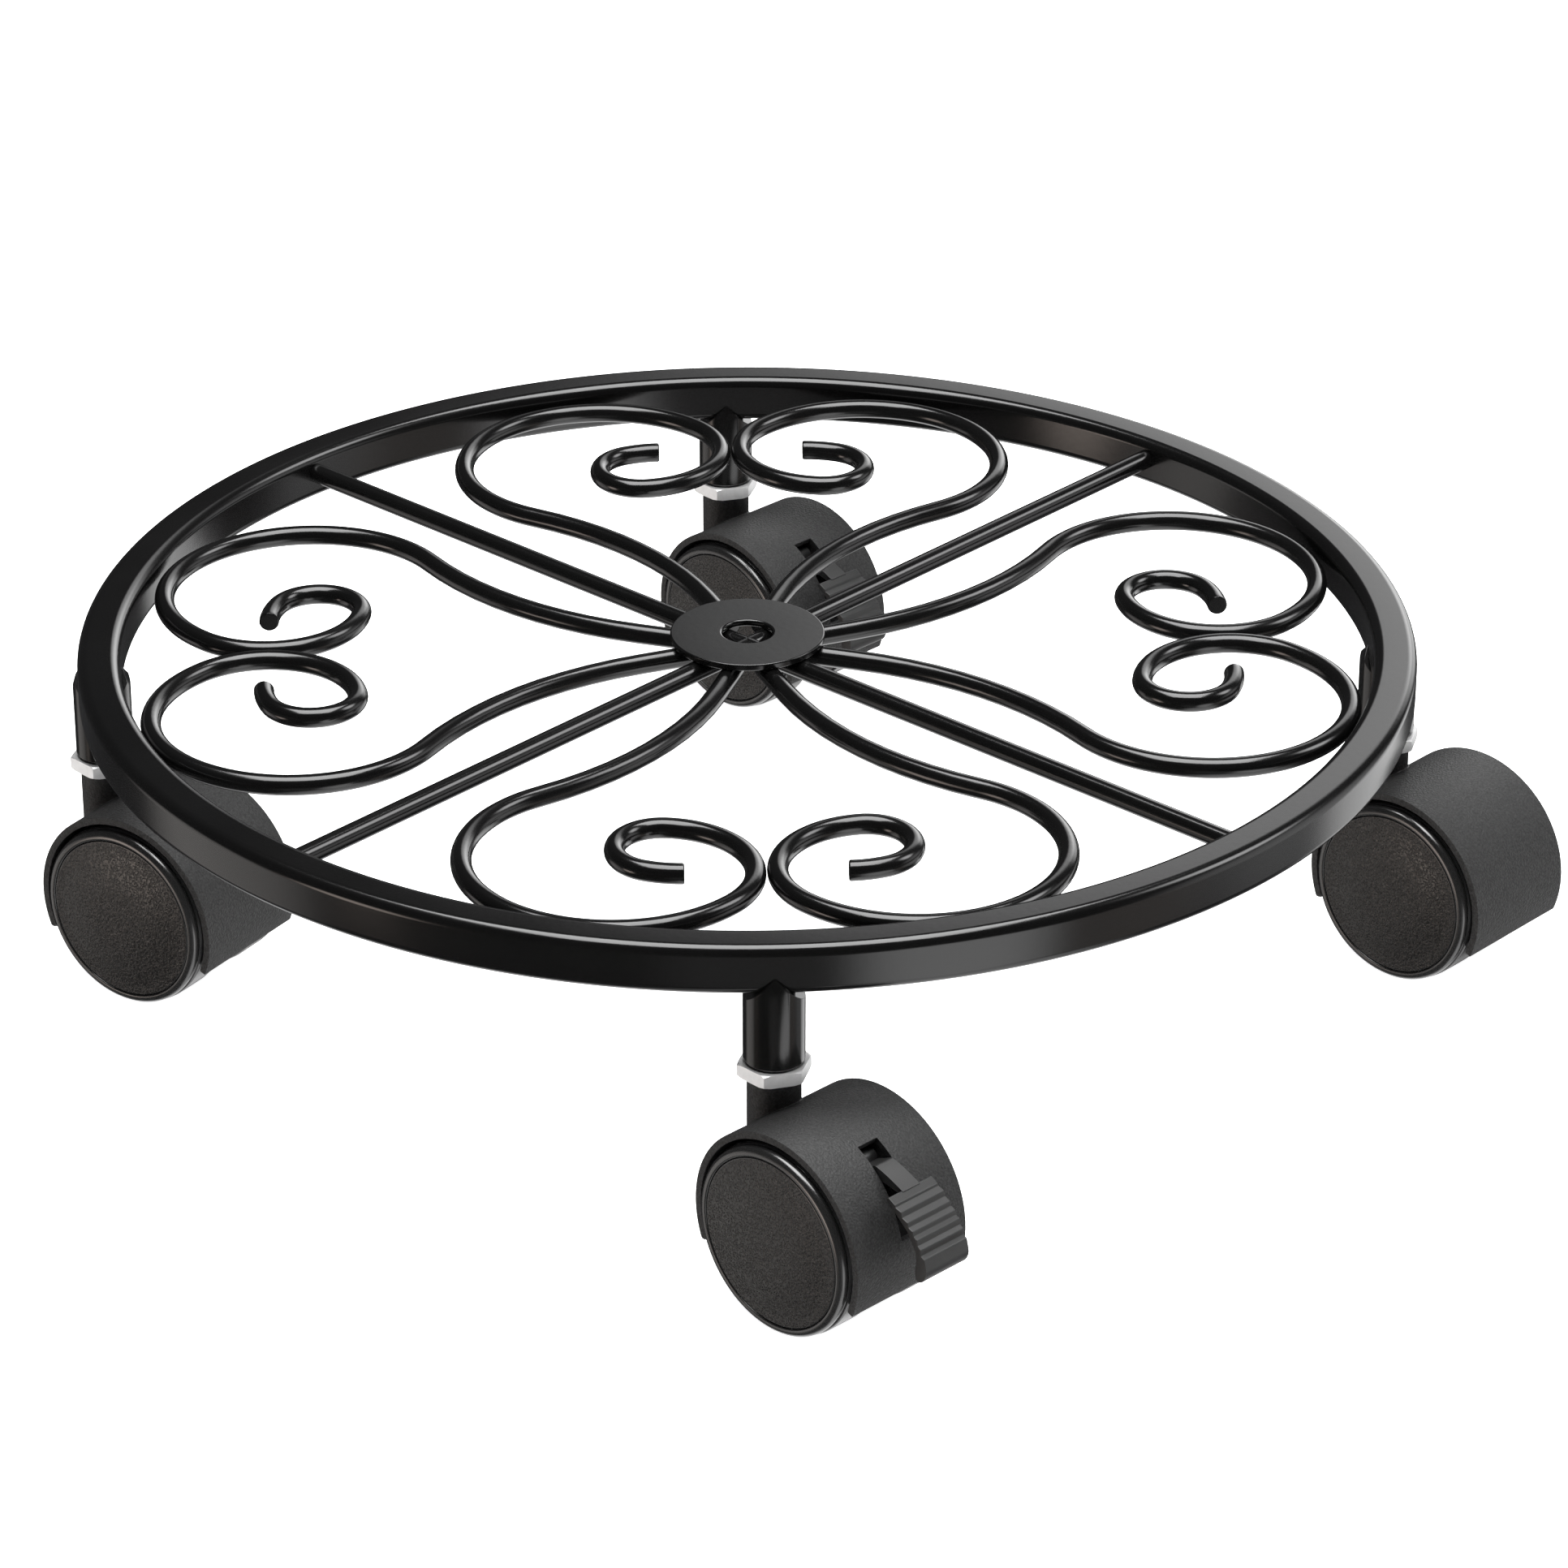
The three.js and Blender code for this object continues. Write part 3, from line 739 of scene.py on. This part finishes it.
def addPinEars(hood, shape, rootRadius):
    pivotX, pivotZ = brakePin["place"]
    reach = shape["earReach"]
    rear, front, middle = [polar(rootRadius, angle) for angle in shape["earAngles"]]
    for side in (-1, 1):
        ear = platePiece("pinEar", [
            rear, (pivotX - reach, pivotZ - 1), (pivotX - reach / 2, pivotZ - reach),
            (pivotX + reach / 2, pivotZ - reach), (pivotX + reach, pivotZ - 1), front, middle],
            shape["ear"] / 2)
        shiftPiece(ear, 0, side * (shape["earInner"] + shape["ear"] / 2), 0)
        combine(hood, ear, "UNION")


def makeHood(shape, braked):
    inner, outer = shape["outer"] - shape["wall"], shape["outer"]
    hood = sweepBlock("hoodShell", inner, outer, shape["halfWidth"], shape["angles"], shape["steps"])
    if braked:
        margin = shape["slotMargin"]
        slot = sweepBlock("slotCutter", inner - margin, outer + margin, shape["slot"],
                          shape["slotAngles"], 20)
        combine(hood, slot, "DIFFERENCE")
    editPiece(hood)
    roundShellCorners(shape)
    leaveEdit()
    softenEdges(hood, shape["edge"], segments=3, angle=40)
    placePiece(hood, lieDown)
    combine(hood, makeBoss(shape), "UNION")
    web = sweepBlock("hoodWeb", 0, inner + shape["sink"], shape["web"], shape["webAngles"], 24)
    placePiece(web, lieDown)
    combine(hood, web, "UNION")
    combine(hood, rodPiece("webHub", shape["webHub"], -shape["web"], shape["web"], 32, lying=True), "UNION")
    lower = rodPiece("lowerBoss", shape["boss"], shape["bossFoot"], shape["bossTop"], 48)
    shiftPiece(lower, -stemBehind, 0, 0)
    combine(hood, lower, "UNION")
    if braked:
        addPinEars(hood, shape, inner + shape["sink"])
        drillPin(hood)
    axleCutter = rodPiece("axleCutter", shape["axleHole"], -cutReach, cutReach, 32, lying=True)
    combine(hood, axleCutter, "DIFFERENCE")
    socket = rodPiece("socketCutter", shape["socket"], shape["socketFoot"], shape["socketTop"], 32)
    shiftPiece(socket, -stemBehind, 0, 0)
    combine(hood, socket, "DIFFERENCE")
    return hood


plainHood = makeHood(hoodShape, False)
slottedHood = makeHood(hoodShape, True)
for name in casterNames:
    model = slottedHood if name in brakedCasters else plainHood
    twin = copyPiece(model, f"casterHood_{name}", axlePlaces[name])
    finishPiece(twin, f"caster_{name}", "hood_nylon", hoodNylon, f"hood_{name}")
removePiece(plainHood)
removePiece(slottedHood)
print("hoods made")


# Wheels and their caps, turned about the axle with the outer face up
wheelShape = {
    "tread": 21.3, "inner": 6.3, "outer": 17.6, "lip": 20.95, "steps": 128,
    "treadDrop": 2.9,  # tread's edge below the outer face
    "step": [(0.3, 2.5, 0.15), (0.25, 2.1, 0.15), (0, 1.9, 0.1)],  # depth from the lip, drop, rounding
    "lipRound": 1.5,
    "capSeat": 18.97, "seatDrop": 0.2, "capGap": 0.3, "ledge": 1.4,
    "disc": 2.2, "hub": 6, "hubDrop": 3.2,
    "drum": 9.4, "drumInner": 3, "bore": 2.75,
}
capShape = {
    "radius": 18.85, "base": 15.5, "rim": 17.3, "crown": 18.25, "steps": 128,
    "rimRise": [(0.93, 0.07), (0.82, 0.17)],  # share of the radius, height above the rim
    "crownDrop": [(0.6, 0.16), (0.3, 0.04)],  # share of the radius, depth below the crown
    "plainRim": 0.35,  # smooth border round the grain
}


def makeWheelBody(wheel, capBase):
    tread, inner, outer, lip = wheel["tread"], wheel["inner"], wheel["outer"], wheel["lip"]
    seat, ledge = wheel["capSeat"], wheel["capSeat"] - wheel["ledge"]
    floor, disc, hubTop = capBase - wheel["capGap"], inner + wheel["disc"], outer - wheel["hubDrop"]
    drum, drumInner, hub, bore = wheel["drum"], wheel["drumInner"], wheel["hub"], wheel["bore"]
    step = [(lip - depth, outer - drop, rounding) for depth, drop, rounding in wheel["step"]]
    return turnPiece("wheelBody", [
        (bore, drumInner, 0.3), (drum, drumInner, 0.5), (drum, inner, 0.4), (tread, inner, 0.9),
        (tread, outer - wheel["treadDrop"], 0.4), *step, (lip, outer, wheel["lipRound"]),
        (seat, outer - wheel["seatDrop"], 0.3), (seat, floor), (ledge, floor, 0.2), (ledge, disc, 0.6),
        (hub, disc, 0.6), (hub, hubTop, 0.4), (bore, hubTop, 0.3)], wheel["steps"])


def makeWheelCap(cap):
    radius, rim, crown = cap["radius"], cap["rim"], cap["crown"]
    disc = turnPiece("wheelCap", [
        (0, cap["base"]), (radius, cap["base"], 0.2), (radius, rim, 0.3),
        *[(radius * share, rim + rise) for share, rise in cap["rimRise"]],
        *[(radius * share, crown - drop) for share, drop in cap["crownDrop"]], (0, crown)], cap["steps"])
    disc.data.materials.append(wheelNylon)
    disc.data.materials.append(capGrain)
    for face in disc.data.polygons:
        if face.normal.z > 0.5 and face.center.xy.length < (radius - cap["plainRim"]) * mm:
            face.material_index = 1
    return disc


def makeWheels(wheel, cap):
    wheelBody = makeWheelBody(wheel, cap["base"])
    wheelCap = makeWheelCap(cap)
    for name in casterNames:
        for letter, tilt in (("a", pi / 2), ("b", -pi / 2)):
            end = f"{name}_{letter}"
            place = axlePlaces[name] @ Matrix.Rotation(tilt, 4, "X")
            twin = copyPiece(wheelBody, f"casterWheel_{end}", place)
            finishPiece(twin, f"wheel_body_{end}", "wheel_nylon", wheelNylon, f"wheel_{end}")
            twin = copyPiece(wheelCap, f"wheelCap_{end}", place)
            finishPiece(twin, f"wheel_body_{end}", "cap_nylon", capGrain, f"wheel_cap_{end}")
    removePiece(wheelBody)
    removePiece(wheelCap)


makeWheels(wheelShape, capShape)
print("wheels made")


# Brake levers: an eye on the pin, a neck through the slot, the ribbed thumb pad with its
# lip, and inside the hood the shoe. Pad corners are (radius, angle) about the axle.
leverShape = {
    "neckHalfWidth": 2.45, "padHalfWidth": 6.25, "eye": 2.1,
    "neck": [(19.6, 57.5), (22.6, 52.6), (24.2, 50.9, 0.5), (25.7, 45, 2.5), (28.36, 34.4, 0.15), (27.2, 33.4),
             (23.6, 43, 2), (20.4, 48)],
    "neckRoot": (1, -1.5),  # from the pin's centre
    "padTop": [(27.95, 35.2, 0.3), (28.95, 31.3, 0.25)],
    # each rib is its groove's radius and angle, then its crest's
    "ribs": [(28.85, 30.3, 30.05, 28.1), (29.8, 25.8, 30.95, 23.7), (30.8, 21.8, 31.8, 20.2),
             (31.65, 18.4, 32.45, 16.9), (32.25, 14.8, 33.05, 13.2)],
    "grooveRound": 0.12, "crestRound": 0.22,
    "padEnd": [(32.75, 11.0, 0.12), (33.65, 9.8, 0.3), (34.05, 4.4, 0.9), (32.9, 0.5, 0.8), (31.1, -0.8, 0.8),
               (30.5, 3.3, 1.1), (31.35, 8.8, 1.0)],
    "padUnder": [(31.3, 12.0), (30.75, 16.0), (30.0, 20.5), (28.7, 25.5), (26.9, 34.6, 0.3)],
    "edge": 0.14, "neckEdge": 0.2,
    "shank": [(-1.5, 0), (-1.2, -7.1), (2.4, -7.1), (2, 0)],  # from the pin's centre
    "shoe": (11.2, 13.4), "shoeHalfWidth": 5.7, "shoeAngles": (36, 58),
}


def makeLevers(shape):
    pivotX, pivotZ = brakePin["place"]
    neckHalf = shape["neckHalfWidth"]
    ribs = []
    for grooveRadius, grooveAngle, crestRadius, crestAngle in shape["ribs"]:
        ribs += [(grooveRadius, grooveAngle, shape["grooveRound"]),
                 (crestRadius, crestAngle, shape["crestRound"])]
    pad = polarCorners(shape["padTop"] + ribs + shape["padEnd"] + shape["padUnder"])
    lever = platePiece("leverPad", pad, shape["padHalfWidth"])
    softenEdges(lever, shape["edge"], angle=35)
    rootX, rootZ = shape["neckRoot"]
    neck = platePiece("leverNeck", [(pivotX, pivotZ + shape["eye"] / 2)] + polarCorners(shape["neck"])
                      + [(pivotX + rootX, pivotZ + rootZ)], neckHalf)
    softenEdges(neck, shape["neckEdge"], angle=35)
    combine(lever, neck, "UNION")
    shank = platePiece("leverShank", [(pivotX + x, pivotZ + z) for x, z in shape["shank"]], neckHalf)
    combine(lever, shank, "UNION")
    eye = rodPiece("leverEye", shape["eye"], -neckHalf, neckHalf, 32, lying=True)
    shiftPiece(eye, pivotX, 0, pivotZ)
    combine(lever, eye, "UNION")
    shoe = sweepBlock("brakeShoe", *shape["shoe"], shape["shoeHalfWidth"], shape["shoeAngles"], 8)
    placePiece(shoe, lieDown)
    combine(lever, shoe, "UNION")
    drillPin(lever)
    for name in brakedCasters:
        twin = copyPiece(lever, f"brakeLever_{name}", axlePlaces[name])
        finishPiece(twin, f"brake_{name}", "lever_nylon", leverNylon, f"brake_lever_{name}")
    removePiece(lever)


makeLevers(leverShape)
print("levers made")


# The stems, clips, axles and pins are plain turned parts, kept as they are.
for nodeName, node in frame["nodes"].items():
    if not node.hide_render:
        node.data.materials.clear()
        node.data.materials.append(turnedSteel)


# Studio
floorLook = {
    "size": 12, "dark": "#f4f4f4", "light": "#f8f8f8", "patchSize": 400, "patchDetail": 2,
    "shine": {"Roughness": 0.95, "Specular IOR Level": 0.1,
              "Emission Color": (1, 1, 1, 1), "Emission Strength": 0.98},
}


def makeFloor(look):
    # Lit white studio table: matt and even, with the faintest clouding.
    bpy.ops.object.select_all(action="DESELECT")
    bpy.ops.mesh.primitive_plane_add(size=look["size"])
    floor = bpy.context.object
    floor.name = "studioFloor"
    material, place = newMaterial("matteStudioPaper")
    patch = addNoise(material, place, look["patchSize"], look["patchDetail"])
    finishMaterial(material, look["shine"], mixColour(material, look, patch))
    floor.data.materials.append(material)
    floor.visible_glossy = False  # black gloss over white paper would turn grey
    floor.visible_shadow = False


# Soft boxes: place and aim in metres, size, watts and colour
softBoxes = {
    "overhead": {"place": (0.0, 0.1, 1.7), "aim": (0, 0, 0), "size": (1.35, 1.35),
                 "watts": 56, "tint": "#ffffff"},
}
# What the gloss sees round the room: (azimuth from +X, elevation, core angle, edge angle, strength, tint).
# Glows below the horizon are the panels that stand mirrored in the table.
studioAir = {
    "base": "#3a3a3b",
    "glows": [
        (72, 22, 8, 18, 1.8, "#ffffff"),
        (8, 40, 5, 15, 7.0, "#ffffff"),
        (5, -3, 10, 34, 1.1, "#ffffff"),
        (65, 8, 8, 22, 2.2, "#ffffff"),
        (-57, -27, 7, 20, 2.3, "#ffffff"),
        (-25, -25, 4, 18, 0.4, "#fff4ec"),
        (40, -24, 8, 20, 1.8, "#ffffff"),
        (168, -24, 8, 24, 0.9, "#fffaf6"),
        (202, -14, 4, 14, 3.8, "#ffeee2"),
        (90, -66, 14, 34, 1.6, "#ffffff"),
        (-50, -62, 12, 30, 1.6, "#ffffff"),
        (-92, -25, 4, 18, 0.2, "#ffffff"),
    ],
}


def makeLights():
    for name, box in softBoxes.items():
        light = bpy.data.lights.new(name, "AREA")
        light.shape = "RECTANGLE"
        light.size, light.size_y = box["size"]
        light.energy = box["watts"]
        light.color = linear(box["tint"])[:3]
        lamp = bpy.data.objects.new(name, light)
        bpy.context.scene.collection.objects.link(lamp)
        lamp.location = box["place"]
        towards = Vector(box["aim"]) - Vector(box["place"])
        lamp.rotation_euler = towards.to_track_quat("-Z", "Y").to_euler()
        lamp.visible_camera = False


def makeAir(look):
    world = bpy.data.worlds.new("studioAir")
    world.use_nodes = True
    world.node_tree.nodes.clear()
    direction = addNode(world, "ShaderNodeTexCoord").outputs["Generated"]
    light = None
    for azimuth, elevation, core, edge, strength, tint in look["glows"]:
        level = cos(radians(elevation))
        towards = (*[level * part for part in polar(1, azimuth)], sin(radians(elevation)))
        facing = addNode(world, "ShaderNodeVectorMath", {1: towards}, {0: direction}, operation="DOT_PRODUCT")
        glow = addNode(world, "ShaderNodeMapRange", {
            "From Min": cos(radians(edge)), "From Max": cos(radians(core)), "To Max": strength},
            {"Value": facing.outputs["Value"]}, interpolation_type="SMOOTHSTEP")
        values, links = {0: linear(tint)[:3]}, {1: glow.outputs["Result"]}
        if light:
            links[2] = light
        else:
            values[2] = linear(look["base"])[:3]
        light = addNode(world, "ShaderNodeVectorMath", values, links,
                        operation="MULTIPLY_ADD").outputs["Vector"]
    air = addNode(world, "ShaderNodeBackground", links={"Color": light})
    addNode(world, "ShaderNodeOutputWorld", links={"Surface": air.outputs["Background"]})
    bpy.context.scene.world = world


# Place, lens and film in millimetres, angles in degrees, clipping in metres
cameraSetup = {
    "place": (-57.44, -1223.64, 675.34), "tilt": 62.824, "heading": -2.478, "roll": 0.065,
    "lens": 140.25, "film": 36, "clip": (0.01, 50),
}


def makeCamera(setup):
    data = bpy.data.cameras.new("studioCamera")
    data.lens = setup["lens"]
    data.sensor_width = setup["film"]
    data.clip_start, data.clip_end = setup["clip"]
    camera = bpy.data.objects.new("studioCamera", data)
    bpy.context.scene.collection.objects.link(camera)
    turn = Matrix.Identity(4)
    for angle, axis in (("heading", "Z"), ("tilt", "X"), ("roll", "Z")):
        turn = turn @ Matrix.Rotation(radians(setup[angle]), 4, axis)
    camera.matrix_world = Matrix.Translation(Vector(setup["place"]) * mm) @ turn
    bpy.context.scene.camera = camera


makeFloor(floorLook)
makeLights()
makeAir(studioAir)
makeCamera(cameraSetup)
bpy.context.scene.view_settings.view_transform = "Standard"
print("studio made")
